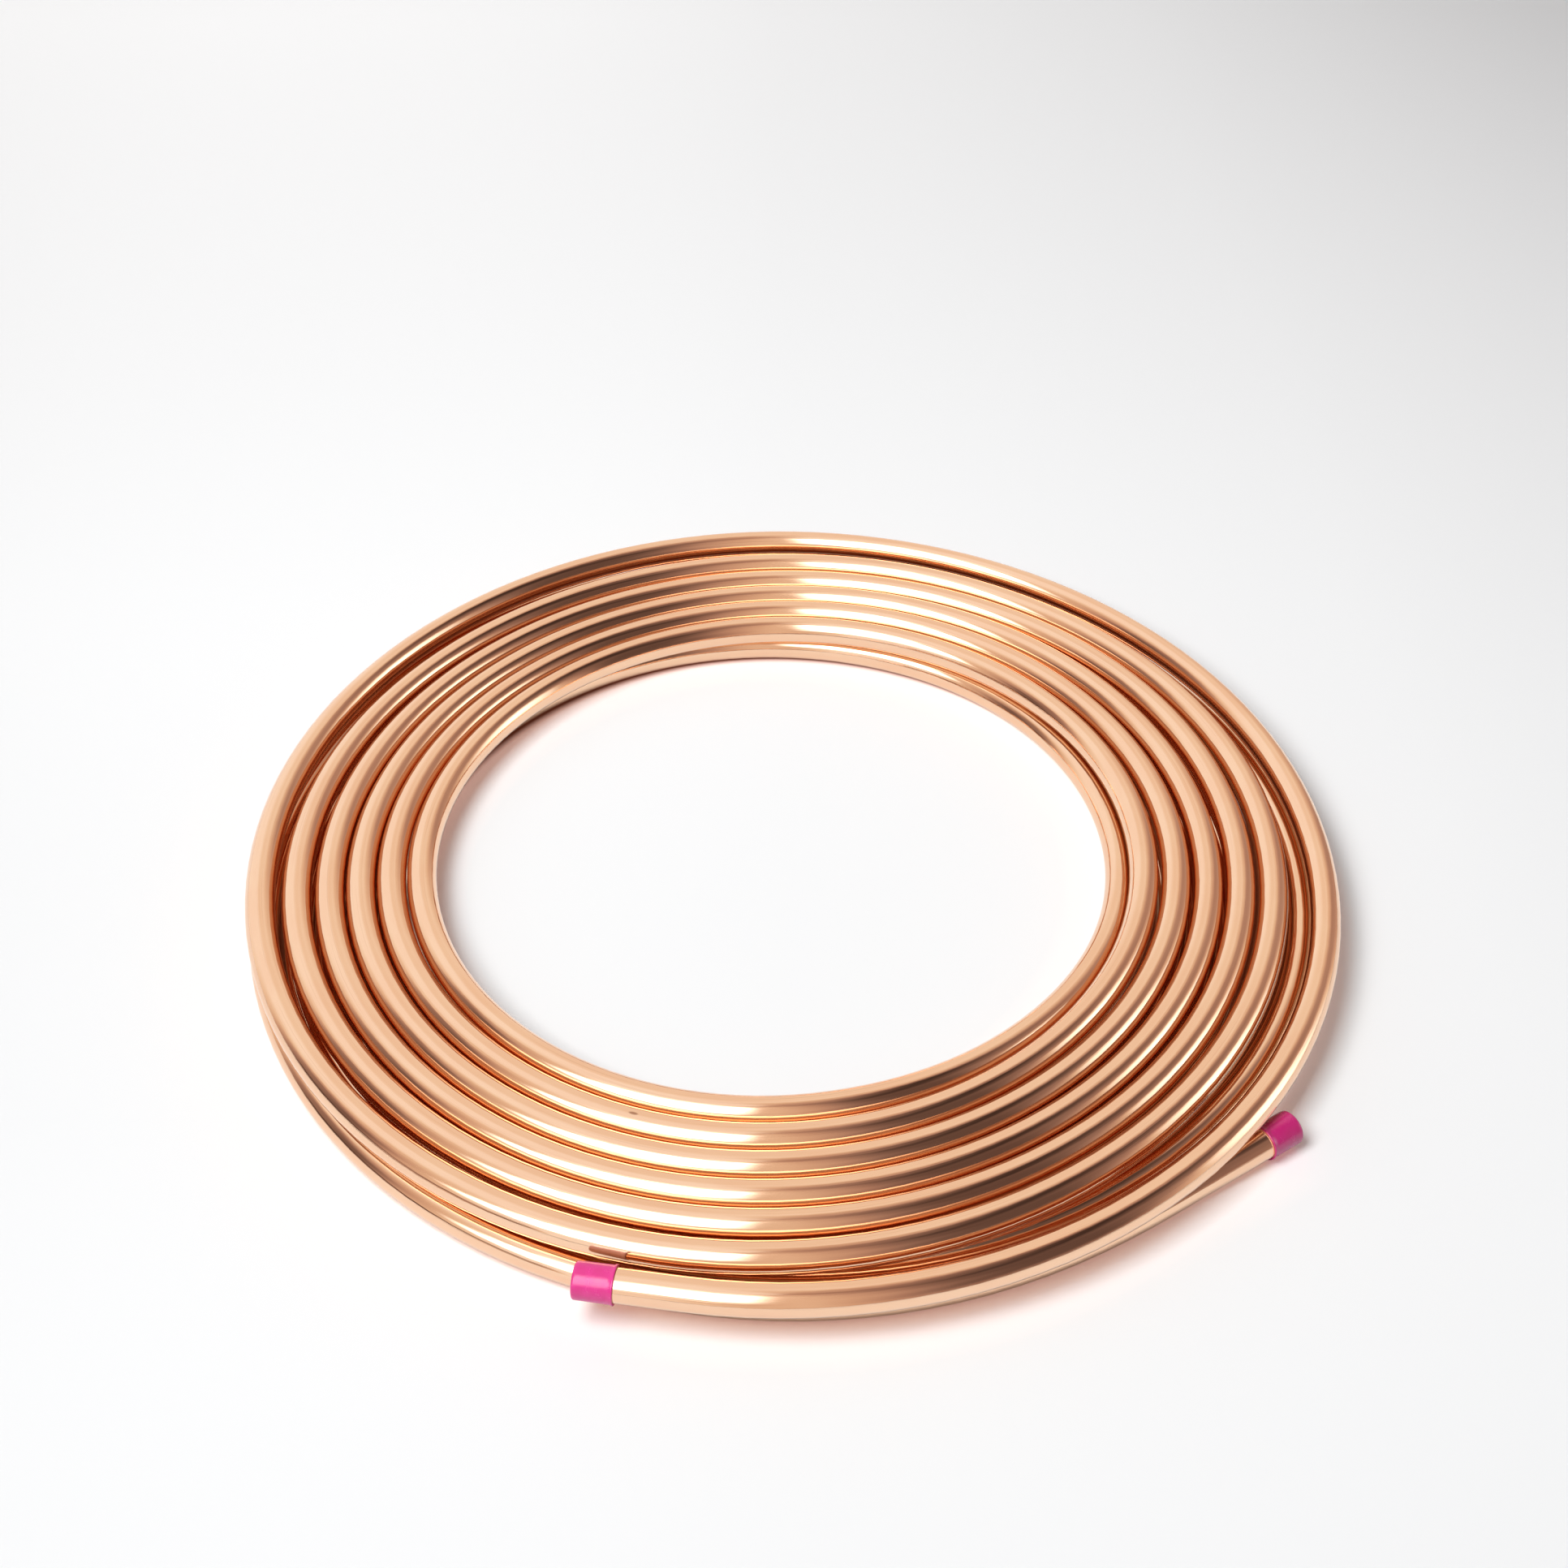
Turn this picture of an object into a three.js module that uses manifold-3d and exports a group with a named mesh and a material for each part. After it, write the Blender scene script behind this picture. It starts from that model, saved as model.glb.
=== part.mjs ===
// Two-layer coil of soft copper tube lying flat, with a push-on vinyl cap on each end.
// Millimetres, +Z up, resting on z = 0, origin under the middle of the coil's box.
//
// The tube is wound clockwise seen from above. Winding angle w is in degrees: w = 0 is the
// front (-Y), 90 the left (-X), 180 the back, 270 the right. The lower layer comes first and
// winds inwards, the tube climbs between CLIMB_START_DEG and CLIMB_END_DEG on its innermost
// turn, and the upper layer winds outwards again.
import * as THREE from "three";
import * as BufferGeometryUtils from "three/addons/utils/BufferGeometryUtils.js";
import Module from "manifold-3d";

const wasm = await Module();
wasm.setup();

// ---- tube ----
const TUBE_OD = 12.7;              // half-inch soft tube
const TUBE_WALL = 0.8;
const TUBE_SIDES = 12;             // flats at the top, the bottom and both flanks
const BORE_SIDES = 6;              // the bore is closed to view by the caps
const STEPS_PER_TURN = 28;

// ---- winding ----
const TURN_GAP = 0.94;             // mean air between neighbouring turns of the upper layer
const LOWER_TURN_GAP = 0.75;       // the same in the lower layer
const LAYER_GAP = 0.3;             // air between the layers
const INNER_RADIUS = 151.8;        // centre line of the upper layer's first turn at the front
const LOWER_WIDER = 13.4;          // the lower layer's last turn, at the back, is wider by this
const LOWER_START_DEG = -1839;     // winding angle where the straight lower tip begins
const UPPER_END_DEG = 2168;        // winding angle where the straight upper tip begins
const LOWER_TIP = 62.5;            // straight length at the lower end
const UPPER_TIP = 38;              // straight length at the upper end

// ---- the climb from the lower to the upper layer ----
const SHIFT_START_DEG = -155, SHIFT_END_DEG = -40;   // the turn moves inwards
const CLIMB_START_DEG = -105, CLIMB_END_DEG = -5;    // then it rises

// ---- how the upper turns have settled ----
const OVAL = 1.8, OVAL_DEG = 40;                     // they are longest this way
const SLIP = 1.7, SLIP_DEG = 190;                    // they have slid over the lower layer
const DRIFT = 0.48, DRIFT_DEG = 205;                 // and a little further with every turn
const FREE_START_DEG = 1750, FREE_END_DEG = 1900;    // from here the last turn runs free
const SPRING = 12;                                   // it springs outwards
const SPRING_START_DEG = 1865, SPRING_END_DEG = 1985;
const EASE = 21;                                     // and is drawn in again towards its end
const EASE_START_DEG = 1980, EASE_END_DEG = 2340;
const WAVES = [                                      // places pushed out or pulled in by hand
  { atDeg: 130, reachDeg: 100, out: 0.6 },
  { atDeg: 870, reachDeg: 110, out: -0.8 },
  { atDeg: 1250, reachDeg: 150, out: -1.2 },
  { atDeg: 1320, reachDeg: 50, out: 2 },
  { atDeg: 1550, reachDeg: 50, out: 0.6 },
  { atDeg: 1690, reachDeg: 40, out: 1.5 },
];
const LIFT = 0.7;                                    // it rides up where it passes the lower cap
const LIFT_AT_DEG = 2114, LIFT_REACH_DEG = 45;

// ---- how the lower layer's outermost turn has sprung loose ----
const LOWER_SPRING = 17.8;
const OUT_START_DEG = -1745, OUT_END_DEG = -1590;
const IN_START_DEG = -1550, IN_END_DEG = -1430;
const TAIL_START_DEG = -1780;                        // its end leaves the ring
const TAIL_DRIFT = 5, TAIL_KICK = 2.3, TAIL_BEND = 9;
const RISE_START_DEG = -1835, RISE_REACH_DEG = 10.4; // and rises to the height of its cap

// ---- caps ----
const CAP_WALL = 0.6;
const CAP_FIT = 0.25;              // air all round between a cap and the tube
const CAP_GRIP = 14;               // tube length inside a cap
const CAP_END = 0.9;               // thickness of the closed end
const CAP_RIM = 0.2;               // flare of the open rim
const CAP_ROUND = 2;               // rounding of the closed end

// ---- worked out from the above ----
const TUBE_R = TUBE_OD / 2;
const PITCH = TUBE_OD + TURN_GAP;
const LOWER_PITCH = TUBE_OD + LOWER_TURN_GAP;
const CAP_BORE_R = TUBE_R + CAP_FIT;
const CAP_R = CAP_BORE_R + CAP_WALL;
const Z_LOWER = TUBE_R;
const Z_UPPER = Z_LOWER + TUBE_OD + LAYER_GAP;
const TAIL_RISE = CAP_R + CAP_RIM - TUBE_R;            // the lower cap rests on the floor too
const LOWER_INNER_RADIUS = INNER_RADIUS + LOWER_WIDER;
const LOWER_END_DEG = -180;                            // where LOWER_INNER_RADIUS is measured

const COPPER = new THREE.MeshStandardMaterial({ color: 0xe0936a, roughness: 0.25, metalness: 1 });
const VINYL = new THREE.MeshStandardMaterial({ color: 0xd0307f, roughness: 0.45, metalness: 0 });

const smooth = (value, from, to) => THREE.MathUtils.smoothstep(value, from, to);

// Corner radius of a regular polygon whose flats stand at the given distance.
const cornerRadius = (flat, sides) => flat / Math.cos(Math.PI / sides);

// ---- centre line ----
const wave = (deg) => Math.cos(THREE.MathUtils.degToRad(deg));

function lowerRadius(w) {
  const spring = smooth(w, OUT_START_DEG, OUT_END_DEG) - smooth(w, IN_START_DEG, IN_END_DEG);
  const tail = Math.max(0, (TAIL_START_DEG - w) / (TAIL_START_DEG - LOWER_START_DEG));
  return LOWER_INNER_RADIUS + LOWER_PITCH * (LOWER_END_DEG - w) / 360 + LOWER_SPRING * spring
    + TAIL_DRIFT * tail + TAIL_KICK * tail ** TAIL_BEND;
}

function upperRadius(w) {
  const settled = OVAL * wave(2 * (w - OVAL_DEG)) + SLIP * wave(w - SLIP_DEG)
    + DRIFT * w / 360 * wave(w - DRIFT_DEG);
  const held = 1 - smooth(w, FREE_START_DEG, FREE_END_DEG);
  const spring = SPRING * smooth(w, SPRING_START_DEG, SPRING_END_DEG)
    - EASE * smooth(w, EASE_START_DEG, EASE_END_DEG);
  let r = INNER_RADIUS + PITCH * w / 360 + settled * held + spring;
  for (const { atDeg, reachDeg, out } of WAVES) {
    r += out * (1 - smooth(Math.abs(w - atDeg), 0, reachDeg));
  }
  return r;
}

function radiusAt(w) {
  const inwards = smooth(w, SHIFT_START_DEG, SHIFT_END_DEG);
  return THREE.MathUtils.lerp(lowerRadius(w), upperRadius(w), inwards);
}

function heightAt(w) {
  const tail = TAIL_RISE * (Math.max(0, RISE_START_DEG - w) / RISE_REACH_DEG) ** 2;
  const climb = (Z_UPPER - Z_LOWER) * smooth(w, CLIMB_START_DEG, CLIMB_END_DEG);
  const lift = LIFT * (1 - smooth(Math.abs(w - LIFT_AT_DEG), 0, LIFT_REACH_DEG));
  return Z_LOWER + tail + climb + lift;
}

function centreAt(w) {
  const angle = THREE.MathUtils.degToRad(w);
  const r = radiusAt(w);
  return new THREE.Vector3(-r * Math.sin(angle), -r * Math.cos(angle), heightAt(w));
}

function directionAt(w) {
  return centreAt(w + 0.5).sub(centreAt(w - 0.5)).normalize();
}

// Stations along the tube: the same angles on every turn, so that neighbouring turns keep
// their gap, with a straight tip at each end.
function coilStations() {
  const step = 360 / STEPS_PER_TURN;
  const angles = [LOWER_START_DEG];
  for (let k = Math.floor(LOWER_START_DEG / step) + 1; k * step < UPPER_END_DEG; k++) {
    if (k * step - LOWER_START_DEG > step / 3 && UPPER_END_DEG - k * step > step / 3) {
      angles.push(k * step);
    }
  }
  angles.push(UPPER_END_DEG);
  const stations = angles.map((w) => ({ point: centreAt(w), tangent: directionAt(w) }));
  const first = stations[0], last = stations[stations.length - 1];
  const tip = (from, length) => ({
    point: from.point.clone().addScaledVector(from.tangent, length),
    tangent: from.tangent,
  });
  return [tip(first, -LOWER_TIP), ...stations, tip(last, UPPER_TIP)];
}

// A path through the stations whose cross-sections stay upright all the way along.
class CoilPath extends THREE.Curve {
  constructor(stations) {
    super();
    this.stations = stations;
  }

  getPointAt(u) {
    return this.stations[Math.round(u * (this.stations.length - 1))].point.clone();
  }

  computeFrenetFrames() {
    const up = new THREE.Vector3(0, 0, 1);
    const tangents = this.stations.map((station) => station.tangent);
    const binormals = tangents.map((t) => t.clone().cross(up).normalize());
    const normals = binormals.map((b, i) => b.clone().cross(tangents[i]));
    return { tangents, normals, binormals };
  }
}

function polygon(flat, sides, Kind = THREE.Shape) {
  const corner = cornerRadius(flat, sides);
  const points = [];
  for (let i = 0; i < sides; i++) {
    const angle = (i + 0.5) * 2 * Math.PI / sides;
    points.push(new THREE.Vector2(corner * Math.cos(angle), corner * Math.sin(angle)));
  }
  return new Kind(points);
}

function tubeSection() {
  const section = polygon(TUBE_R, TUBE_SIDES);
  const boreCorner = TUBE_R - TUBE_WALL;
  const equalArea = Math.sqrt(2 * Math.PI / (BORE_SIDES * Math.sin(2 * Math.PI / BORE_SIDES)));
  const boreFlat = boreCorner * equalArea * Math.cos(Math.PI / BORE_SIDES);
  section.holes.push(polygon(boreFlat, BORE_SIDES, THREE.Path));
  return section;
}

function copperTube(stations) {
  return new THREE.ExtrudeGeometry(tubeSection(), {
    steps: stations.length - 1,
    extrudePath: new CoilPath(stations),
    curveSegments: 1,
  });
}

// ---- solids for joining and cutting ----
function toSolid(geometry) {
  const plain = geometry.clone();
  plain.deleteAttribute("normal");
  plain.deleteAttribute("uv");
  const merged = BufferGeometryUtils.mergeVertices(plain, 1e-4);
  return new wasm.Manifold(new wasm.Mesh({
    numProp: 3,
    vertProperties: new Float32Array(merged.attributes.position.array),
    triVerts: new Uint32Array(merged.index.array),
  }));
}

function toGeometry(solid) {
  const mesh = solid.getMesh();
  const geometry = new THREE.BufferGeometry();
  geometry.setAttribute("position", new THREE.BufferAttribute(mesh.vertProperties, 3));
  geometry.setIndex(new THREE.BufferAttribute(mesh.triVerts, 1));
  geometry.computeVertexNormals();
  return geometry;
}

// A cap stands on its closed end along +Z, with z = 0 where the tube's end comes to.
function endCap() {
  const base = -CAP_FIT - CAP_END;
  const corner = cornerRadius(CAP_R, TUBE_SIDES);
  const rim = cornerRadius(CAP_R + CAP_RIM, TUBE_SIDES);
  const rimStart = CAP_GRIP - 2 * CAP_WALL;
  const outline = [
    [0, base],
    [corner - CAP_ROUND, base],
    [corner - CAP_ROUND * (1 - Math.SQRT1_2), base + CAP_ROUND * (1 - Math.SQRT1_2)],
    [corner, base + CAP_ROUND],
    [corner, rimStart],
    [rim, CAP_GRIP],
    [0, CAP_GRIP],
  ].map(([r, z]) => new THREE.Vector2(r, z));
  // LatheGeometry turns about Y, so it is stood up along Z.
  const body = new THREE.LatheGeometry(outline, TUBE_SIDES, Math.PI / TUBE_SIDES);
  body.rotateX(Math.PI / 2);
  const bore = new THREE.ExtrudeGeometry(polygon(CAP_BORE_R, TUBE_SIDES), {
    depth: CAP_GRIP + CAP_FIT + CAP_ROUND,
    bevelEnabled: false,
  });
  bore.translate(0, 0, -CAP_FIT);
  return toGeometry(toSolid(body).subtract(toSolid(bore)));
}

// Puts a cap over the tube's end: its bore faces back along the tube.
function seatCap(mesh, end, inwards) {
  const up = new THREE.Vector3(0, 0, 1);
  const side = up.clone().cross(inwards).normalize();
  const level = inwards.clone().cross(side);
  mesh.matrixAutoUpdate = false;
  mesh.matrix.makeBasis(side, level, inwards).setPosition(end);
}

// ---- the part ----
const stations = coilStations();
const firstStation = stations[0];
const lastStation = stations[stations.length - 1];

const tube = new THREE.Mesh(copperTube(stations), COPPER);
tube.name = "copper_tube";

const lowerCap = new THREE.Mesh(endCap(), VINYL.clone());
lowerCap.name = "end_cap_lower";
seatCap(lowerCap, firstStation.point, firstStation.tangent.clone());

const upperCap = new THREE.Mesh(endCap(), VINYL.clone());
upperCap.name = "end_cap_upper";
seatCap(upperCap, lastStation.point, lastStation.tangent.clone().negate());

const coil = new THREE.Group();
coil.add(tube, lowerCap, upperCap);

// The origin is under the middle of the box that holds the whole coil.
coil.updateMatrixWorld(true);
const box = new THREE.Box3().setFromObject(coil, true);
const middle = box.getCenter(new THREE.Vector3());
const part = new THREE.Group();
coil.position.set(-middle.x, -middle.y, -box.min.z);
part.add(coil);

export default part;
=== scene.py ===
import math

import bmesh
import bpy
from mathutils import Matrix, Vector, noise


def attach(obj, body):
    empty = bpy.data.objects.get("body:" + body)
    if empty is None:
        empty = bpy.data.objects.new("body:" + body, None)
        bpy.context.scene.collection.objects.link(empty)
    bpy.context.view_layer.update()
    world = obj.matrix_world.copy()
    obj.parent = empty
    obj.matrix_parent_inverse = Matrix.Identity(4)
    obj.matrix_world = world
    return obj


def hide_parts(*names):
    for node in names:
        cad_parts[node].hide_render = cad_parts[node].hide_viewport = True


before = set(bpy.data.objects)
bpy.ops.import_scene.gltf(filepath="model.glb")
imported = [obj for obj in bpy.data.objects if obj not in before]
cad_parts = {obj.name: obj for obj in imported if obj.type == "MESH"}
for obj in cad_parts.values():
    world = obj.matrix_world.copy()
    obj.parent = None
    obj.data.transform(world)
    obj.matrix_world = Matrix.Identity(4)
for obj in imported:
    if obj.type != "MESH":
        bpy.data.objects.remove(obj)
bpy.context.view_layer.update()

# Two-layer coil of soft copper tube lying flat, with a push-on vinyl cap on each free end.
# Metres, +Z up, resting on z = 0. The tube is wound clockwise seen from above. Winding angle w
# is in degrees: 0 is the front (-Y), 90 the left (-X), 180 the back, 270 the right.
MM = 0.001

# ---- tube ----
TUBE_OD = 12.7 * MM
TUBE_WALL = 0.8 * MM
TUBE_SIDES = 60
STEPS_PER_TURN = 128
MOUTH_DEPTH = 30 * MM              # the bore is modelled this far in from each end
LOWER_TIP_STEPS, UPPER_TIP_STEPS = 6, 4

# ---- winding ----
TURN_GAP = 0.94 * MM               # air between neighbouring turns of the upper layer
LOWER_TURN_GAP = 0.75 * MM
LAYER_GAP = 0.3 * MM
INNER_RADIUS = 151.8 * MM
LOWER_INNER_RADIUS = 165.2 * MM
LOWER_START, UPPER_END = -1839, 2168      # between these the tube is coiled
LOWER_TIP, UPPER_TIP = 62.5 * MM, 38 * MM     # straight lengths past them
LOWER_TURNS_END = -180
NEARBY = 0.5                              # degrees each way, over which a direction is taken
SHIFT_START, SHIFT_END = -155, -40        # the innermost turn moves inwards
CLIMB_START, CLIMB_END = -105, -5         # then it rises

# ---- how the turns have settled ----
OVAL, OVAL_ANGLE = 1.8 * MM, 40           # the upper turns are longest this way
SLIP, SLIP_ANGLE = 1.7 * MM, 190          # they have slid over the lower ones
DRIFT, DRIFT_ANGLE = 0.48 * MM, 205       # and a little further with every turn
FREE_START, FREE_END = 1750, 1900         # from here the last turn goes its own way
SPRING, SPRING_START, SPRING_END = 12 * MM, 1865, 1985
EASE, EASE_START, EASE_END = 21 * MM, 1980, 2340
BUMPS = [                                 # middle, reach and height of smaller waves
    (130, 100, 0.6 * MM), (870, 110, -0.8 * MM), (1250, 150, -1.2 * MM),
    (1320, 50, 2.0 * MM), (1550, 50, 0.6 * MM), (1690, 40, 1.5 * MM),
]
LOWER_SPRING = 17.8 * MM                  # the lower layer's outermost turn stands off too
OUT_START, OUT_END = -1745, -1590
IN_START, IN_END = -1550, -1430
TAIL_START, TAIL_DRIFT, TAIL_KICK, TAIL_BEND = -1780, 5 * MM, 2.3 * MM, 9
RISE_START, RISE_REACH = -1835, 10.4      # the tail lifts to the height of its cap
LIFT, LIFT_AT, LIFT_REACH = 0.7 * MM, 2114, 45    # the last upper turn rides over that cap
AXIS = Vector((-7.11 * MM, -1.81 * MM, 0))     # where the coil's own axis stands

# ---- caps ----
CAP_FIT = 0.25 * MM
CAP_WALL = 0.6 * MM
CAP_RIM = 0.2 * MM
CAP_GRIP = 14 * MM
CAP_END = 1.15 * MM                # how far a cap reaches past the tube's end
CAP_CLOSED_R = 6.95 * MM           # outside radius by the closed end
CAP_OPEN_R = 7.02 * MM             # and by the lip
CAP_LIP_R = 7.35 * MM
CAP_CORNER = 1.1 * MM              # rounding of the closed end
CORNER_STEPS, GRIP_STEPS, CAP_SIDES = 6, 11, 64
# The closed end is a little hollow: radius and depth, in millimetres.
CAP_HOLLOW = [(0, 0.12), (2.2, 0.08), (5.0, 0)]
# The rolled lip: how far inside its widest radius and how far behind the mouth, in millimetres.
LIP_START = 1.3 * MM
LIP_ROLL = [(0.08, 0.7), (0, 0.35), (0.08, 0.08), (0.3, 0)]
MOUTH_ROUND, MOUTH_EASE, MOUTH_BACK = 0.2 * MM, 0.02 * MM, 0.25 * MM
LINING_GAP = 0.05 * MM             # between the tube and the cap's lining
LINING_RINGS = [CAP_GRIP - 2 * MM, 6 * MM, LINING_GAP]
DENT, DENT_SCALE, DENT_LENGTH = 0.11 * MM, 1.3, 7 * MM
DENT_CLEAR = 0.1 * MM              # the lining isn't dented
DENT_START = 0.3 * MM              # and neither is the closed end
LOWER_SEED, UPPER_SEED = 3.1, 8.4
LOWER_CAP_SHADE, UPPER_CAP_SHADE = 0.6, 0.0     # painted shade: how far each cap's colour goes towards its colour in shade; the lower cap lies in the ring's shadow

TUBE_R = TUBE_OD / 2
PITCH = TUBE_OD + TURN_GAP
LOWER_PITCH = TUBE_OD + LOWER_TURN_GAP
Z_LOWER = TUBE_R
Z_UPPER = Z_LOWER + TUBE_OD + LAYER_GAP
TAIL_RISE = CAP_FIT + CAP_WALL + CAP_RIM
LINING_R = TUBE_R + LINING_GAP


def smooth(value, start, end):
    t = min(1, max(0, (value - start) / (end - start)))
    return t * t * (3 - 2 * t)


# ---- where the tube runs ----
def wave(w, angle):
    return math.cos(math.radians(w - angle))


def lower_radius(w):
    spring = LOWER_SPRING * (smooth(w, OUT_START, OUT_END) - smooth(w, IN_START, IN_END))
    tail = max(0, (TAIL_START - w) / (TAIL_START - LOWER_START))
    return (LOWER_INNER_RADIUS + LOWER_PITCH * (LOWER_TURNS_END - w) / 360 + spring
            + TAIL_DRIFT * tail + TAIL_KICK * tail ** TAIL_BEND)


def upper_radius(w):
    settled = (OVAL * wave(2 * w, 2 * OVAL_ANGLE) + SLIP * wave(w, SLIP_ANGLE)
               + DRIFT * w / 360 * wave(w, DRIFT_ANGLE)) * (1 - smooth(w, FREE_START, FREE_END))
    spring = (SPRING * smooth(w, SPRING_START, SPRING_END)
              - EASE * smooth(w, EASE_START, EASE_END))
    bumps = sum(height * (1 - smooth(abs(w - middle), 0, reach))
                for middle, reach, height in BUMPS)
    return INNER_RADIUS + PITCH * w / 360 + settled + spring + bumps


def radius_at(w):
    share = smooth(w, SHIFT_START, SHIFT_END)
    return lower_radius(w) * (1 - share) + upper_radius(w) * share


def height_at(w):
    tail = TAIL_RISE * (max(0, RISE_START - w) / RISE_REACH) ** 2
    climb = (Z_UPPER - Z_LOWER) * smooth(w, CLIMB_START, CLIMB_END)
    lift = LIFT * (1 - smooth(abs(w - LIFT_AT), 0, LIFT_REACH))
    return Z_LOWER + tail + climb + lift


def centre_at(w):
    angle, r = math.radians(w), radius_at(w)
    return AXIS + Vector((-r * math.sin(angle), -r * math.cos(angle), height_at(w)))


def direction_at(w):
    return (centre_at(w + NEARBY) - centre_at(w - NEARBY)).normalized()


def tube_path():
    """Points along the tube's centre line, with a straight tip at each end."""
    steps = round((UPPER_END - LOWER_START) * STEPS_PER_TURN / 360)
    angles = [LOWER_START + (UPPER_END - LOWER_START) * k / steps for k in range(steps + 1)]
    points = [centre_at(w) for w in angles]
    first, last = direction_at(LOWER_START), direction_at(UPPER_END)
    lower = [points[0] - first * LOWER_TIP * k / LOWER_TIP_STEPS
             for k in range(LOWER_TIP_STEPS, 0, -1)]
    upper = [points[-1] + last * UPPER_TIP * k / UPPER_TIP_STEPS
             for k in range(1, UPPER_TIP_STEPS + 1)]
    return lower + points + upper, first, last


# ---- node trees ----
class Nodes:
    """Adds nodes to one tree and joins them up."""

    def __init__(self, tree):
        self.tree = tree

    def add(self, kind, inputs=None, **settings):
        node = self.tree.nodes.new(kind)
        for name, value in settings.items():
            setattr(node, name, value)
        for key, value in (inputs or {}).items():
            self.feed(node.inputs[key], value)
        return node

    def feed(self, socket, value):
        if isinstance(value, bpy.types.NodeSocket):
            self.tree.links.new(value, socket)
        else:
            socket.default_value = value

    def math(self, operation, *values):
        return self.add("ShaderNodeMath", dict(enumerate(values)), operation=operation).outputs[0]

    def ramp(self, value, start, end, low=0.0, high=1.0, kind="SMOOTHSTEP"):
        """The value carried from start..end to low..high."""
        return self.add("ShaderNodeMapRange", {0: value, 1: start, 2: end, 3: low, 4: high},
                        interpolation_type=kind).outputs[0]

    def between(self, share, low, high):
        """Goes evenly from low to high as the share goes from 0 to 1."""
        return self.ramp(share, 0, 1, low, high, "LINEAR")

    def window(self, value, low, high, edge):
        """1 between low and high and 0 outside them, with soft edges."""
        return self.math("MULTIPLY", self.ramp(value, low - edge, low + edge),
                         self.ramp(value, high - edge, high + edge, 1.0, 0.0))

    def rest(self, share):
        """What a share leaves of 1."""
        return self.math("SUBTRACT", 1.0, share)

    def distance(self, spot, place):
        return self.add("ShaderNodeVectorMath", {0: spot, 1: place},
                        operation="DISTANCE").outputs["Value"]

    def mix(self, share, a, b):
        """One colour carried to another."""
        node = self.add("ShaderNodeMix", {0: share, 6: a, 7: b}, data_type="RGBA")
        return node.outputs[2]


def capture(n, geometry, value, kind, name):
    """Keeps a value with the geometry, and gives both back."""
    node = n.add("GeometryNodeCaptureAttribute", domain="POINT")
    node.capture_items.new(kind, name)
    n.feed(node.inputs["Geometry"], geometry)
    n.feed(node.inputs[name], value)
    return node.outputs["Geometry"], node.outputs[name]


def sweep_tree():
    """Geometry nodes that sweep a tube along the object's own line of points."""
    tree = bpy.data.node_groups.new("sweep_tube", "GeometryNodeTree")
    face = tree.interface
    face.new_socket("Path", in_out="INPUT", socket_type="NodeSocketGeometry")
    for name in ("Outside Diameter", "Wall", "Mouth Depth"):
        face.new_socket(name, in_out="INPUT", socket_type="NodeSocketFloat")
    face.new_socket("Sides", in_out="INPUT", socket_type="NodeSocketInt")
    face.new_socket("Finish", in_out="INPUT", socket_type="NodeSocketMaterial")
    face.new_socket("Tube", in_out="OUTPUT", socket_type="NodeSocketGeometry")
    n = Nodes(tree)
    given = n.add("NodeGroupInput").outputs
    radius = n.math("MULTIPLY", given["Outside Diameter"], 0.5)

    path = n.add("GeometryNodeMeshToCurve", {"Mesh": given["Path"]}).outputs["Curve"]
    path = n.add("GeometryNodeSetCurveNormal", {"Curve": path}, mode="Z_UP").outputs["Curve"]
    along = n.add("GeometryNodeSplineParameter").outputs["Length"]
    path, along = capture(n, path, along, "FLOAT", "Along")
    section = n.add("GeometryNodeCurvePrimitiveCircle",
                    {"Resolution": given["Sides"], "Radius": radius}).outputs["Curve"]
    spot = n.add("GeometryNodeInputPosition").outputs["Position"]
    section, spot = capture(n, section, spot, "VECTOR", "Spot")
    tube = n.add("GeometryNodeCurveToMesh", {"Curve": path, "Profile Curve": section,
                                             "Fill Caps": True}).outputs["Mesh"]

    # Where each point lies on the tube while it was still straight.
    across = n.add("ShaderNodeSeparateXYZ", {0: spot}).outputs
    straight = n.add("ShaderNodeCombineXYZ", {0: across[0], 1: across[1], 2: along}).outputs[0]
    tube = n.add("GeometryNodeStoreNamedAttribute",
                 {"Geometry": tube, "Name": "straight", "Value": straight},
                 data_type="FLOAT_VECTOR", domain="POINT").outputs["Geometry"]

    # Each end face is drawn in by the wall, then sunk to make the bore's mouth.
    corners = n.add("GeometryNodeInputMeshFaceNeighbors").outputs["Vertex Count"]
    ends = n.math("GREATER_THAN", corners, 4.0)     # all other faces have four corners
    rim = n.add("GeometryNodeExtrudeMesh", {"Mesh": tube, "Selection": ends,
                                            "Offset Scale": 0.0}, mode="FACES")
    share = n.rest(n.math("DIVIDE", given["Wall"], radius))
    drawn = n.add("GeometryNodeScaleElements", {"Geometry": rim.outputs["Mesh"],
                                                "Selection": rim.outputs["Top"],
                                                "Scale": share}, domain="FACE")
    sunk = n.add("GeometryNodeExtrudeMesh",
                 {"Mesh": drawn.outputs["Geometry"], "Selection": rim.outputs["Top"],
                  "Offset Scale": n.math("MULTIPLY", given["Mouth Depth"], -1.0)}, mode="FACES")
    flat = n.add("FunctionNodeBooleanMath", {0: rim.outputs["Side"], 1: sunk.outputs["Top"]},
                 operation="OR").outputs[0]
    round_faces = n.add("FunctionNodeBooleanMath", {0: flat}, operation="NOT").outputs[0]
    shaded = n.add("GeometryNodeSetShadeSmooth", {"Geometry": sunk.outputs["Mesh"],
                                                  "Shade Smooth": round_faces})
    whole = n.add("GeometryNodeRealizeInstances", {"Geometry": shaded.outputs["Geometry"]})
    done = n.add("GeometryNodeSetMaterial", {"Geometry": whole.outputs["Geometry"],
                                             "Material": given["Finish"]})
    n.add("NodeGroupOutput", {"Tube": done.outputs["Geometry"]})
    return tree


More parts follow.
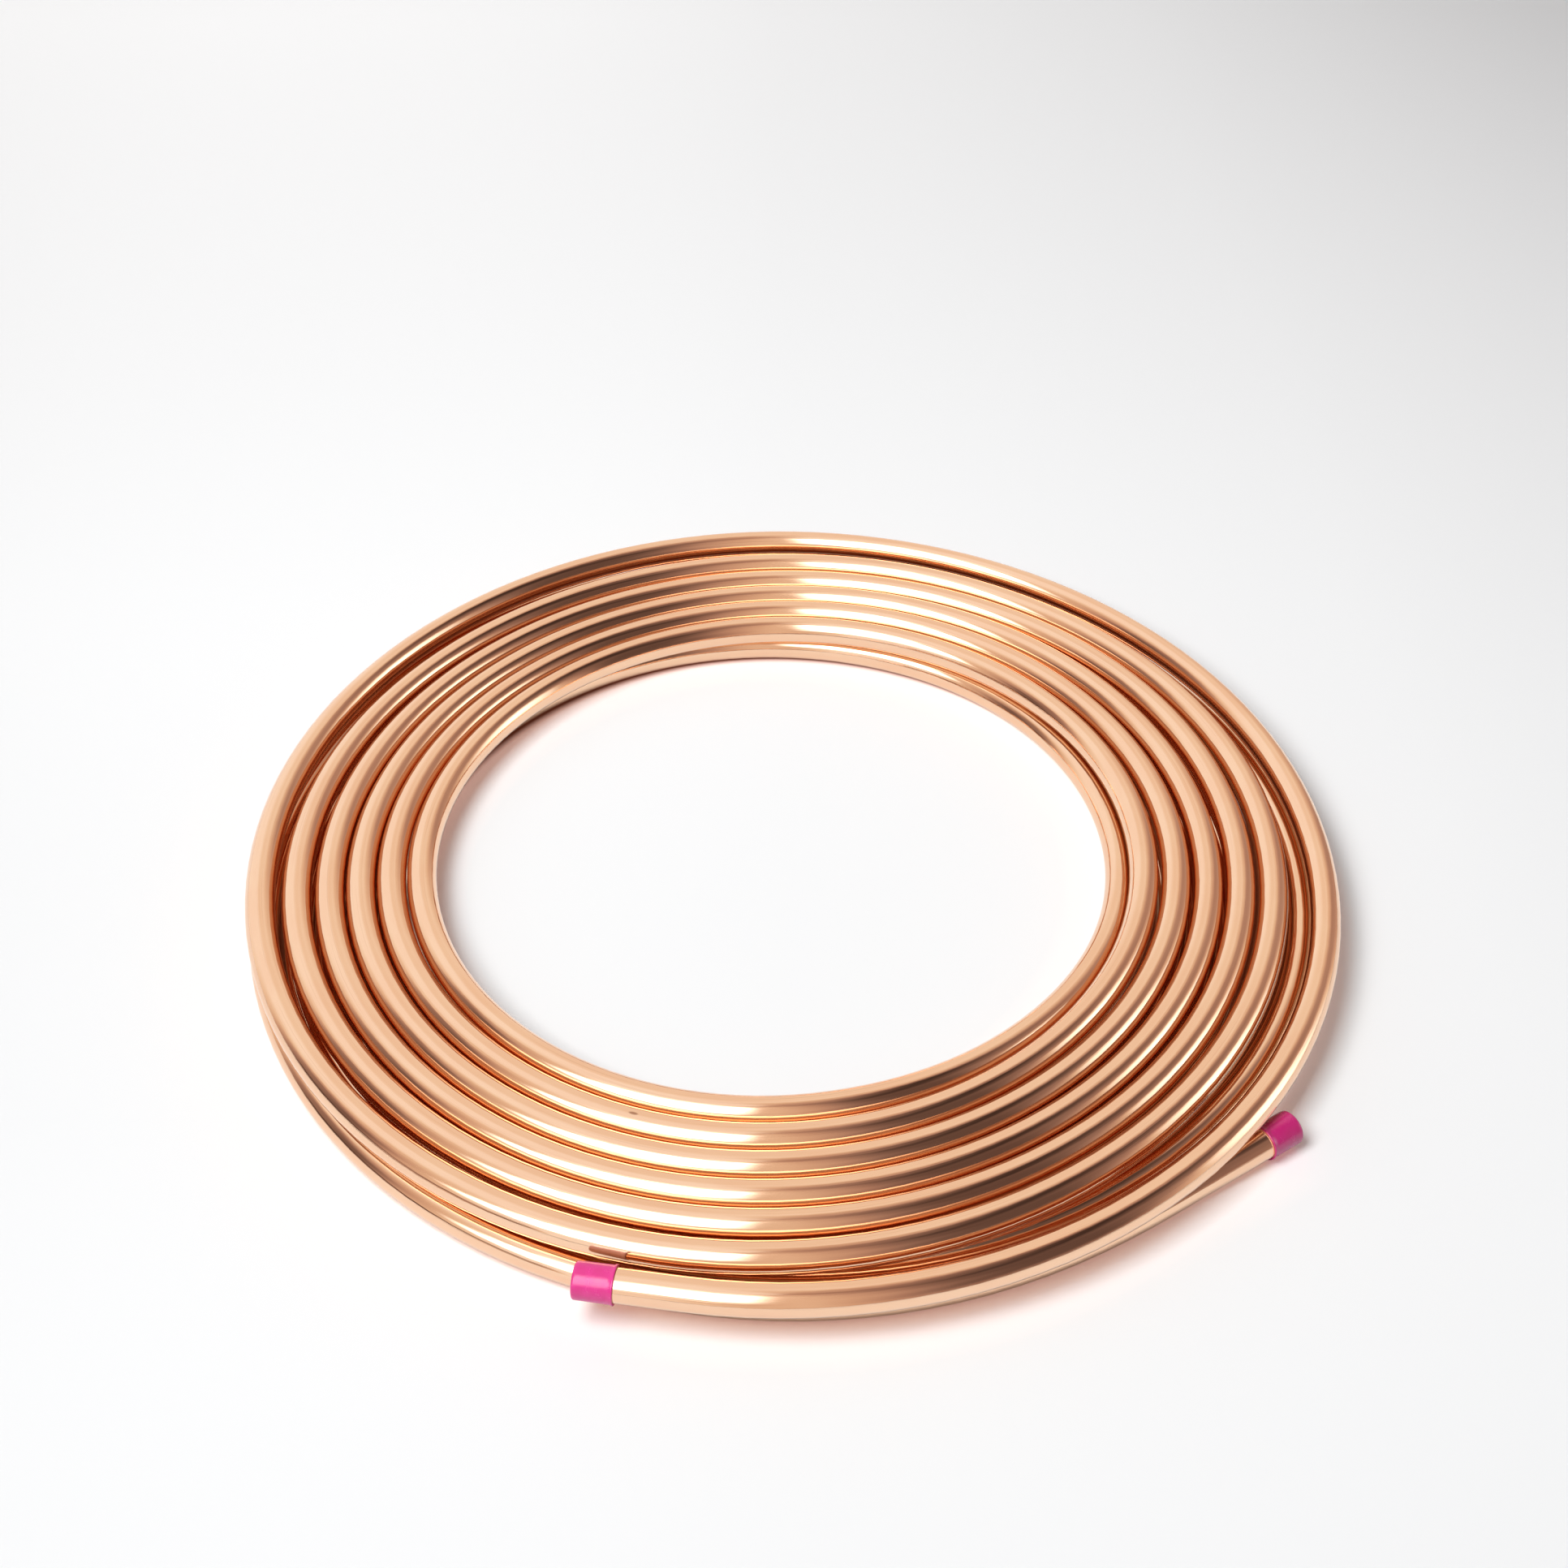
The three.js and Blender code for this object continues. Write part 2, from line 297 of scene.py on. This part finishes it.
def with_nodes(name, mesh, tree, **inputs):
    """Runs a geometry tree on a mesh and returns the result as a plain mesh object."""
    source = bpy.data.objects.new(name + "_path", mesh)
    bpy.context.scene.collection.objects.link(source)
    modifier = source.modifiers.new("shape", "NODES")
    modifier.node_group = tree
    sockets = {s.name: s.identifier for s in tree.interface.items_tree if s.in_out == "INPUT"}
    for key, value in inputs.items():
        modifier[sockets[key.replace("_", " ")]] = value
    bpy.context.view_layer.update()
    ready = source.evaluated_get(bpy.context.evaluated_depsgraph_get())
    made = bpy.data.meshes.new_from_object(ready)
    source.modifiers.remove(modifier)
    bpy.data.objects.remove(source)
    piece = bpy.data.objects.new(name, made)
    bpy.context.scene.collection.objects.link(piece)
    return piece


# ---- finishes ----
def new_material(name):
    material = bpy.data.materials.new(name)
    material.use_nodes = True
    material.node_tree.nodes.clear()
    return material, Nodes(material.node_tree)


MARK_CORE, MARK_EDGE = 0.10, 0.22         # size of a mark, as a share of its cell


def flecks_group():
    """Small scattered marks. Mask is 1 on a mark and 0 between marks."""
    tree = bpy.data.node_groups.new("flecks", "ShaderNodeTree")
    face = tree.interface
    face.new_socket("Vector", in_out="INPUT", socket_type="NodeSocketVector")
    for name in ("Marks per Metre", "Share Marked"):
        face.new_socket(name, in_out="INPUT", socket_type="NodeSocketFloat")
    face.new_socket("Mask", in_out="OUTPUT", socket_type="NodeSocketFloat")
    n = Nodes(tree)
    given = n.add("NodeGroupInput").outputs
    cells = n.add("ShaderNodeTexVoronoi", {"Vector": given["Vector"],
                                           "Scale": given["Marks per Metre"]})
    pick = n.add("ShaderNodeSeparateColor", {0: cells.outputs["Color"]}).outputs[0]
    chosen = n.math("LESS_THAN", pick, given["Share Marked"])
    near = n.ramp(cells.outputs["Distance"], MARK_CORE, MARK_EDGE, 1.0, 0.0)
    n.add("NodeGroupOutput", {"Mask": n.math("MULTIPLY", chosen, near)})
    return tree


DULL_COPPER, CLEAN_COPPER = (0.945, 0.605, 0.405, 1), (0.96, 0.64, 0.435, 1)
COPPER_MARK, COPPER_STREAK = (0.50, 0.27, 0.17, 1), (0.72, 0.42, 0.27, 1)
DEEP_COPPER = (0.92, 0.565, 0.345, 1)     # copper as other copper mirrors it
DEEP_ROUGHNESS = 0.2
# Each pattern's waves per metre across and along the tube, and its detail.
BROAD_LINES, FINE_LINES = (420, 5, 3.0), (1300, 7, 3.0)
CLOUDS, STREAKS = (110, 28, 4.0), (1700, 9, 2.0)
LINE_SHARPNESS = 0.6
CLOUD_RANGE = (0.35, 0.68)
STREAK_RANGE, STREAK_SHARE = (0.60, 0.72), 0.3
BROAD_RANGE, BROAD_ROUGHNESS = (0.3, 0.75), (0.05, 0.10)
FINE_RANGE, FINE_ROUGHNESS = (0.45, 0.75), (0.0, 0.02)
COPPER_RELIEF, COPPER_RELIEF_DEPTH = 0.2, 0.3 * MM
COPPER_MARKS, COPPER_MARKED, MARK_STRETCH = 260, 0.006, 0.35


def scattered(n, flecks, vector, per_metre, share):
    """The mask of small marks, at this many per metre, of which only a share is marked."""
    node = n.add("ShaderNodeGroup", node_tree=flecks)
    n.feed(node.inputs["Vector"], vector)
    n.feed(node.inputs["Marks per Metre"], per_metre)
    n.feed(node.inputs["Share Marked"], share)
    return node.outputs["Mask"]


def copper_finish(flecks):
    """Bright drawn copper: satin along its length, with fine drawing lines and small marks."""
    material, n = new_material("drawn_copper")
    spot = n.add("ShaderNodeAttribute", attribute_name="straight").outputs["Vector"]

    def lines(across, along, detail):
        vector = n.add("ShaderNodeMapping", {"Vector": spot,
                                             "Scale": (across, across, along)}).outputs[0]
        return n.add("ShaderNodeTexNoise", {"Vector": vector, "Scale": 1.0, "Detail": detail,
                                            "Roughness": LINE_SHARPNESS}).outputs[0]

    broad, fine = lines(*BROAD_LINES), lines(*FINE_LINES)
    colour = n.mix(n.ramp(lines(*CLOUDS), *CLOUD_RANGE), DULL_COPPER, CLEAN_COPPER)
    seen = n.add("ShaderNodeLightPath").outputs["Is Camera Ray"]
    colour = n.mix(seen, DEEP_COPPER, colour)
    stretched = n.add("ShaderNodeMapping", {"Vector": spot,
                                            "Scale": (1, 1, MARK_STRETCH)}).outputs[0]
    marks = scattered(n, flecks, stretched, COPPER_MARKS, COPPER_MARKED)
    colour = n.mix(marks, colour, COPPER_MARK)
    streak = n.ramp(lines(*STREAKS), *STREAK_RANGE, 0.0, STREAK_SHARE)
    colour = n.mix(streak, colour, COPPER_STREAK)
    rough = n.math("ADD", n.ramp(broad, *BROAD_RANGE, *BROAD_ROUGHNESS, "LINEAR"),
                   n.ramp(fine, *FINE_RANGE, *FINE_ROUGHNESS, "LINEAR"))
    rough = n.math("ADD", n.math("MULTIPLY", rough, seen),
                   n.math("MULTIPLY", n.rest(seen), DEEP_ROUGHNESS))
    relief = n.math("ADD", n.math("MULTIPLY", broad, 0.5), n.math("MULTIPLY", fine, 0.5))
    bump = n.add("ShaderNodeBump", {"Strength": COPPER_RELIEF, "Distance": COPPER_RELIEF_DEPTH,
                                    "Height": relief})
    shader = n.add("ShaderNodeBsdfPrincipled", {"Base Color": colour, "Metallic": 1.0,
                                                "Roughness": rough,
                                                "Normal": bump.outputs["Normal"]})
    n.add("ShaderNodeOutputMaterial", {"Surface": shader.outputs[0]})
    return material


DULL_VINYL, CLEAN_VINYL = (0.72, 0.021, 0.235, 1), (0.76, 0.029, 0.27, 1)
VINYL_MARK = (0.86, 0.28, 0.50, 1)
SHADED_VINYL = (0.40, 0.012, 0.12, 1)       # painted shade: the darker colour of a cap that lies in shade, of which it takes a share
PALE_VINYL = (1.0, 0.70, 0.74, 1)         # a cap as the copper beside it mirrors it
VINYL_CLOUDS, VINYL_DETAIL = 240.0, 3.0
VINYL_TONE_RANGE, VINYL_ROUGH_RANGE = (0.35, 0.7), (0.3, 0.75)
VINYL_ROUGHNESS, VINYL_SPECULAR = (0.20, 0.30), 0.75
VINYL_RELIEF, VINYL_RELIEF_DEPTH = 0.25, 0.2 * MM
VINYL_MARKS, VINYL_MARKED = 700, 0.01


def vinyl_finish(flecks):
    """Soft magenta vinyl with a waxy sheen."""
    material, n = new_material("soft_vinyl")
    spot = n.add("ShaderNodeTexCoord").outputs["Object"]
    cloud = n.add("ShaderNodeTexNoise", {"Vector": spot, "Scale": VINYL_CLOUDS,
                                         "Detail": VINYL_DETAIL}).outputs[0]
    colour = n.mix(n.ramp(cloud, *VINYL_TONE_RANGE), DULL_VINYL, CLEAN_VINYL)
    marks = scattered(n, flecks, spot, VINYL_MARKS, VINYL_MARKED)
    colour = n.mix(marks, colour, VINYL_MARK)
    # Painted shade: a cap that lies in shade takes a share of the darker colour.
    depth = n.add("ShaderNodeAttribute", attribute_name="painted_shade").outputs["Fac"]
    colour = n.mix(depth, colour, SHADED_VINYL)
    mirrored = n.add("ShaderNodeLightPath").outputs["Is Glossy Ray"]
    colour = n.mix(mirrored, colour, PALE_VINYL)
    rough = n.ramp(cloud, *VINYL_ROUGH_RANGE, *VINYL_ROUGHNESS, "LINEAR")
    bump = n.add("ShaderNodeBump", {"Strength": VINYL_RELIEF, "Distance": VINYL_RELIEF_DEPTH,
                                    "Height": cloud})
    shader = n.add("ShaderNodeBsdfPrincipled", {"Base Color": colour, "Roughness": rough,
                                                "Specular IOR Level": VINYL_SPECULAR,
                                                "Normal": bump.outputs["Normal"]})
    n.add("ShaderNodeOutputMaterial", {"Surface": shader.outputs[0]})
    return material


# ---- caps ----
def cap_profile():
    """A cap's outline as radius and distance from the tube's end, closed end first, lining last."""
    profile = [(r * MM, hollow * MM - CAP_END) for r, hollow in CAP_HOLLOW]
    for k in range(CORNER_STEPS + 1):
        turn = math.pi / 2 * k / CORNER_STEPS
        profile.append((CAP_CLOSED_R - CAP_CORNER + CAP_CORNER * math.sin(turn),
                        CAP_CORNER - CAP_END - CAP_CORNER * math.cos(turn)))
    start, stop = CAP_CORNER - CAP_END, CAP_GRIP - LIP_START
    for k in range(1, GRIP_STEPS + 1):
        profile.append((CAP_CLOSED_R + (CAP_OPEN_R - CAP_CLOSED_R) * k / GRIP_STEPS,
                        start + (stop - start) * k / GRIP_STEPS))
    profile += [(CAP_LIP_R - inside * MM, CAP_GRIP - back * MM) for inside, back in LIP_ROLL]
    profile += [(LINING_R + MOUTH_ROUND, CAP_GRIP - MOUTH_EASE), (LINING_R, CAP_GRIP - MOUTH_BACK)]
    return profile + [(LINING_R, s) for s in LINING_RINGS] + [(0, LINING_GAP)]


def dent_at(r, s, turn, seed):
    """How far the cap's skin stands out or in here."""
    if r < LINING_R + DENT_CLEAR or s < DENT_START - CAP_END:
        return 0
    spot = Vector((math.cos(turn), math.sin(turn), s / DENT_LENGTH)) * DENT_SCALE
    return noise.noise(spot + Vector((seed, 0, 0))) * DENT


def end_cap(name, node, tip, inwards, seed, depth, finish):
    """A dipped vinyl cap: rounded closed end, thin wall, and a lip at its open end."""
    side = Vector((0, 0, 1)).cross(inwards).normalized()
    level = inwards.cross(side)
    mesh = bmesh.new()
    rings = []
    for r, s in cap_profile():
        ring = []
        for k in range(CAP_SIDES if r else 1):
            turn = 2 * math.pi * k / CAP_SIDES
            out = side * math.cos(turn) + level * math.sin(turn)
            ring.append(mesh.verts.new(tip + inwards * s + out * (r + dent_at(r, s, turn, seed))))
        rings.append(ring)
    for a, b in zip(rings, rings[1:]):
        for k in range(CAP_SIDES):
            after = (k + 1) % CAP_SIDES
            if len(a) == 1:
                mesh.faces.new((a[0], b[k], b[after]))
            elif len(b) == 1:
                mesh.faces.new((a[k], b[0], a[after]))
            else:
                mesh.faces.new((a[k], b[k], b[after], a[after]))
    bmesh.ops.recalc_face_normals(mesh, faces=mesh.faces)
    for face in mesh.faces:
        face.smooth = True
    data = bpy.data.meshes.new(name)
    mesh.to_mesh(data)
    mesh.free()
    # Painted shade: this cap's share of the darker colour, for a cap that lies in shade.
    deep = data.attributes.new("painted_shade", "FLOAT", "POINT")
    deep.data.foreach_set("value", [depth] * len(data.vertices))
    data.materials.append(finish)
    piece = bpy.data.objects.new(name, data)
    bpy.context.scene.collection.objects.link(piece)
    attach(piece, "root")
    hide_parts(node)


# ---- studio ----
CAMERA_LENS, SENSOR_WIDTH = 44.826, 36    # millimetres, as Blender takes them
CAMERA_PLACE = Vector((0, -635.0 * MM, 606.4 * MM))       # from the coil's axis
CAMERA_TURN, CAMERA_DIP, CAMERA_ROLL = 0.341, 40.929, 0.228
CLIP_START, CLIP_END = 0.01, 20

# Lit and dark zones around the table, laid one over another: azimuth from the back (0) by the
# right (90), and elevation, both from..to in degrees, the softness of their edges, and level.
ZONES = [
    ("cove_middle", (-18, 14), (-20, 58), 10, 0.91),
    ("pale_ceiling", (0, 200), (66, 104), 12, 0.56),
    ("dark_ceiling", (42, 140), (50, 80), 18, 0.04),
    ("far_wall", (45, 186), (5, 36), 16, 0.22),
    ("dark_room", (107, 148), (8, 62), 14, 0.13),
    ("dark_corner", (43, 54), (-5, 40), 8, 0.46),
    ("lamp_glow", (62, 108), (-20, 28), 17, 1.15),
    ("right_lamp", (78, 96), (0, 32), 10, 2.4),
    ("left_flag", (-112, -79), (-17, 47), 24, 0.38),
    ("flag_core", (-90, -78), (-5, 38), 7, 0.32),
    ("overhead_spill", (-128, -93), (68, 84), 7, 1.44),
    ("back_glow", (164, 190), (-30, 90), 16, 0.82),
    ("softbox", (-171, -120), (32, 75), 8, 8.0),
    ("flag_foot", (-104, -88), (0, 30), 7, 0.20),
    ("table_edge", (-140, -84), (3, 9), 3, 0.08),
]
COVE_LEVEL, COVE_FALL = 1.01, 0.55        # the pale cove, and how it darkens to the right
COVE_TURN = 60
MIDTONE_GREEN, MIDTONE_BLUE = 0.67, 0.60  # what is less than fully lit is warm in colour
GREEN_CURVE, BLUE_CURVE = 3.0, 6.0
ROOM_LIGHT = (0.33, 0.30, 0.29, 1)        # what falls on matt surfaces from all round
BRIGHT_SIDE, DARK_SIDE = 1.25, 0.4        # more from the back left than from the front right
SIDE_RANGE = (-0.8, 1.3)
ONCE, TWICE, THRICE, LATE = 1, 2, 3, 5    # times that the light was mirrored
FIRST_LIMIT, SECOND_LIMIT = 1.6, 5.5      # the brightest that one and two mirrorings show
DEEP_LEVEL, DEEP_COVE = 0.27, 0.35        # light mirrored many times comes from all round,
DEEP_COVE_RANGE = (0.2, 0.8)
DEEP_GLOW, LATE_GLOW = 4.0, 0.8           # and more of it from the softbox's side
GLOW_START, GLOW_FULL = 0.64, 0.98
MIRRORINGS = 16                           # from copper to copper, before the light is lost

SOFTBOX_PLACE = Vector((-0.303, -0.426, 0.816))
SOFTBOX_WIDTH, SOFTBOX_DEPTH = 0.41, 0.47
SOFTBOX_POWER = 9.55

WHITE, BLACK = (1, 1, 1, 1), (0, 0, 0, 1)
BACKDROP_LEVEL = 0.98
FLOOR_REACH, FLOOR_ROUGHNESS = 4.0, 0.9
FLOOR_COLOUR = (0.858, 0.884, 0.898, 1)
# The floor fades into the backdrop between these distances from a point behind the coil.
FAR_MIDDLE, FAR_START, FAR_END = Vector((0, 0.4, 0)), 1.02, 1.75
# The pale room makes the floor paler behind, but less so towards the right.
BACK_FILL, RIGHT_FALL = 0.34, 0.58
BACK_RANGE, ACROSS_RANGE = (-0.14, 1.07), (-0.55, 1.44)
MIDDLE_FILL, MIDDLE_BACK, MIDDLE_ACROSS = 0.04, (-0.05, 0.22), (-0.1, 0.4)
RIGHT_FILL, RIGHT_RANGE = 0.06, (0.0, 0.3)
# Between these distances from the axis, what shows of the floor is in copper light.
UNDER_INNER, UNDER_OUTER, UNDER_EDGE = 161 * MM, 223 * MM, 3 * MM
UNDER_COLOUR = (0.42, 0.13, 0.06, 1)
BOUNCE_COLOUR, BOUNCE_REACH = (0.42, 0.19, 0.145, 1), 20 * MM
BOUNCE_SAMPLES = 4


def set_camera():
    camera = bpy.data.cameras.new("camera")
    camera.lens, camera.sensor_width = CAMERA_LENS, SENSOR_WIDTH
    camera.clip_start, camera.clip_end = CLIP_START, CLIP_END
    holder = bpy.data.objects.new("camera", camera)
    turn, dip = math.radians(CAMERA_TURN), math.radians(CAMERA_DIP)
    roll = math.radians(CAMERA_ROLL)
    forward = Vector((math.sin(turn) * math.cos(dip), math.cos(turn) * math.cos(dip),
                      -math.sin(dip)))
    right = forward.cross(Vector((0, 0, 1))).normalized()
    up = right.cross(forward)
    right, up = (right * math.cos(roll) + up * math.sin(roll),
                 up * math.cos(roll) - right * math.sin(roll))
    place = Matrix((right, up, -forward)).transposed().to_4x4()
    place.translation = AXIS + CAMERA_PLACE
    holder.matrix_world = place
    bpy.context.scene.collection.objects.link(holder)
    bpy.context.scene.camera = holder


def zone_level(n, x, y, z):
    """How bright the room is in this direction."""
    azimuth = n.math("MULTIPLY", n.math("ARCTAN2", x, y), 180 / math.pi)
    elevation = n.math("MULTIPLY", n.math("ARCSINE", z), 180 / math.pi)
    level = n.ramp(azimuth, 0, COVE_TURN, COVE_LEVEL, COVE_LEVEL - COVE_FALL)
    for _, (left, right), (low, high), edge, strength in ZONES:
        # A zone that crosses the front (180) is met again from the other side.
        turned = n.math("WRAP", azimuth, (left + right) / 2 + 180, (left + right) / 2 - 180)
        inside = n.math("MULTIPLY", n.window(turned, left, right, edge),
                        n.window(elevation, low, high, edge))
        level = n.between(inside, level, strength)
    return level


def mirrored_level(n, way, y, level):
    """That level as copper shows it, which depends on how often the light was mirrored."""
    depth = n.add("ShaderNodeLightPath").outputs["Ray Depth"]
    # White clips, so the first reflection needs no more than a little over it.
    limit = n.ramp(depth, ONCE, TWICE, FIRST_LIMIT, SECOND_LIMIT, "LINEAR")
    level = n.math("MINIMUM", level, limit)
    toward = n.add("ShaderNodeVectorMath", {0: way, 1: (SOFTBOX_PLACE - AXIS).normalized()},
                   operation="DOT_PRODUCT").outputs["Value"]
    glow = n.math("MULTIPLY", n.ramp(toward, GLOW_START, GLOW_FULL),
                  n.ramp(depth, THRICE, LATE, DEEP_GLOW, LATE_GLOW, "LINEAR"))
    cove = n.ramp(y, *DEEP_COVE_RANGE, DEEP_LEVEL, DEEP_LEVEL + DEEP_COVE)
    many = n.ramp(depth, TWICE, THRICE, kind="LINEAR")
    return n.between(many, level, n.math("ADD", glow, cove))


def warm_colour(n, level):
    """Light of this level, warmer in colour the less it is fully lit."""
    full = n.math("MINIMUM", level, 1.0)
    green = n.between(n.math("POWER", full, GREEN_CURVE), MIDTONE_GREEN, 1.0)
    blue = n.between(n.math("POWER", full, BLUE_CURVE), MIDTONE_BLUE, 1.0)
    return n.add("ShaderNodeCombineColor", {0: level, 1: n.math("MULTIPLY", level, green),
                                            2: n.math("MULTIPLY", level, blue)}).outputs[0]


def studio_world():
    """Mirrors see the zones, matt surfaces get soft light, and the camera sees a plain white."""
    world = bpy.data.worlds.new("studio")
    world.use_nodes = True
    world.node_tree.nodes.clear()
    n = Nodes(world.node_tree)
    way = n.add("ShaderNodeTexCoord").outputs["Generated"]
    x, y, z = n.add("ShaderNodeSeparateXYZ", {0: way}).outputs
    level = mirrored_level(n, way, y, zone_level(n, x, y, z))
    side = n.ramp(n.math("SUBTRACT", x, y), *SIDE_RANGE, BRIGHT_SIDE, DARK_SIDE, "LINEAR")
    mirrored = n.add("ShaderNodeBackground", {"Color": warm_colour(n, level), "Strength": 1.0})
    spread = n.add("ShaderNodeBackground", {"Color": ROOM_LIGHT, "Strength": side})
    plain = n.add("ShaderNodeBackground", {"Color": WHITE, "Strength": BACKDROP_LEVEL})
    rays = n.add("ShaderNodeLightPath").outputs
    lit = n.add("ShaderNodeMixShader", {0: rays["Is Glossy Ray"], 1: spread.outputs[0],
                                        2: mirrored.outputs[0]})
    both = n.add("ShaderNodeMixShader", {0: rays["Is Camera Ray"], 1: lit.outputs[0],
                                         2: plain.outputs[0]})
    n.add("ShaderNodeOutputWorld", {"Surface": both.outputs[0]})
    bpy.context.scene.world = world


def softbox():
    """The lamp on the front left, which lights what is matt; ZONES holds its reflection."""
    lamp = bpy.data.lights.new("softbox", "AREA")
    lamp.shape = "RECTANGLE"
    lamp.size, lamp.size_y = SOFTBOX_WIDTH, SOFTBOX_DEPTH
    lamp.energy = SOFTBOX_POWER
    lamp.use_nodes = True
    n = Nodes(lamp.node_tree)
    even = n.add("ShaderNodeLightFalloff", {"Strength": 1.0}).outputs["Constant"]
    glow = next(k for k in lamp.node_tree.nodes if k.type == "EMISSION")
    n.feed(glow.inputs["Strength"], even)
    holder = bpy.data.objects.new("softbox", lamp)
    holder.location = SOFTBOX_PLACE
    holder.rotation_euler = (AXIS - SOFTBOX_PLACE).to_track_quat("-Z", "Y").to_euler()
    holder.visible_camera = holder.visible_glossy = False
    bpy.context.scene.collection.objects.link(holder)


def floor_fill(n, x, y):
    """The light that the pale room adds to the floor, by place."""
    behind = n.math("MULTIPLY", n.ramp(y, *BACK_RANGE, kind="LINEAR"),
                    n.ramp(x, *ACROSS_RANGE, BACK_FILL, BACK_FILL - RIGHT_FALL))
    middle = n.math("MULTIPLY", n.ramp(y, *MIDDLE_BACK, 0.0, MIDDLE_FILL),
                    n.ramp(x, *MIDDLE_ACROSS, 1.0, 0.0))
    right = n.ramp(x, *RIGHT_RANGE, 0.0, RIGHT_FILL, "LINEAR")
    return n.math("ADD", n.math("ADD", behind, middle), right)


def floor_paper():
    """Matt paper that keeps the coil's shadow."""
    material, n = new_material("floor_paper")
    spot = n.add("ShaderNodeTexCoord").outputs["Object"]
    x, y, _ = n.add("ShaderNodeSeparateXYZ", {0: spot}).outputs
    rays = n.add("ShaderNodeLightPath").outputs
    under = n.window(n.distance(spot, AXIS), UNDER_INNER, UNDER_OUTER, UNDER_EDGE)
    deep = n.ramp(rays["Ray Depth"], TWICE, THRICE, kind="LINEAR")
    far = n.math("MULTIPLY", rays["Is Camera Ray"],
                 n.ramp(n.distance(spot, FAR_MIDDLE), FAR_START, FAR_END))
    colour = n.mix(under, FLOOR_COLOUR, UNDER_COLOUR)
    colour = n.mix(far, n.mix(deep, colour, BLACK), BLACK)
    fill = n.math("MULTIPLY", floor_fill(n, x, y), n.rest(rays["Is Diffuse Ray"]))
    fill = n.between(deep, n.math("MULTIPLY", fill, n.rest(under)), DEEP_LEVEL)
    paper = n.add("ShaderNodeBsdfPrincipled", {
        "Base Color": colour, "Roughness": FLOOR_ROUGHNESS, "Emission Color": WHITE,
        "Emission Strength": n.between(far, fill, BACKDROP_LEVEL)})
    # Close to the tube, the copper throws a warm light on the floor.
    open_share = n.add("ShaderNodeAmbientOcclusion", {"Distance": BOUNCE_REACH},
                       samples=BOUNCE_SAMPLES).outputs["AO"]
    shut_in = n.math("MULTIPLY", n.rest(open_share), n.rest(under))
    shut_in = n.math("MULTIPLY", shut_in, rays["Is Camera Ray"])
    bounce = n.add("ShaderNodeEmission", {"Color": BOUNCE_COLOUR, "Strength": shut_in})
    whole = n.add("ShaderNodeAddShader", {0: paper.outputs[0], 1: bounce.outputs[0]})
    n.add("ShaderNodeOutputMaterial", {"Surface": whole.outputs[0]})
    return material


def studio_floor():
    mesh = bpy.data.meshes.new("floor")
    corners = [(-1, -1, 0), (1, -1, 0), (1, 1, 0), (-1, 1, 0)]
    mesh.from_pydata([Vector(corner) * FLOOR_REACH for corner in corners], [], [(0, 1, 2, 3)])
    floor = bpy.data.objects.new("floor", mesh)
    bpy.context.scene.collection.objects.link(floor)
    mesh.materials.append(floor_paper())


# ---- build ----
set_camera()
studio_world()
softbox()
studio_floor()
flecks = flecks_group()
copper = copper_finish(flecks)
vinyl = vinyl_finish(flecks)

points, first_way, last_way = tube_path()
line = bpy.data.meshes.new("tube_line")
line.from_pydata(points, [(k, k + 1) for k in range(len(points) - 1)], [])
tube = with_nodes("coiled_tube", line, sweep_tree(), Outside_Diameter=TUBE_OD,
                  Wall=TUBE_WALL, Mouth_Depth=MOUTH_DEPTH, Sides=TUBE_SIDES, Finish=copper)
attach(tube, "root")
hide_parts("copper_tube")

end_cap("lower_cap", "end_cap_lower", points[0], first_way, LOWER_SEED, LOWER_CAP_SHADE, vinyl)
end_cap("upper_cap", "end_cap_upper", points[-1], -last_way, UPPER_SEED, UPPER_CAP_SHADE, vinyl)

bpy.context.scene.view_settings.view_transform = "Standard"
bpy.context.scene.cycles.max_bounces = MIRRORINGS      # light goes deep into the gaps
bpy.context.scene.cycles.glossy_bounces = MIRRORINGS
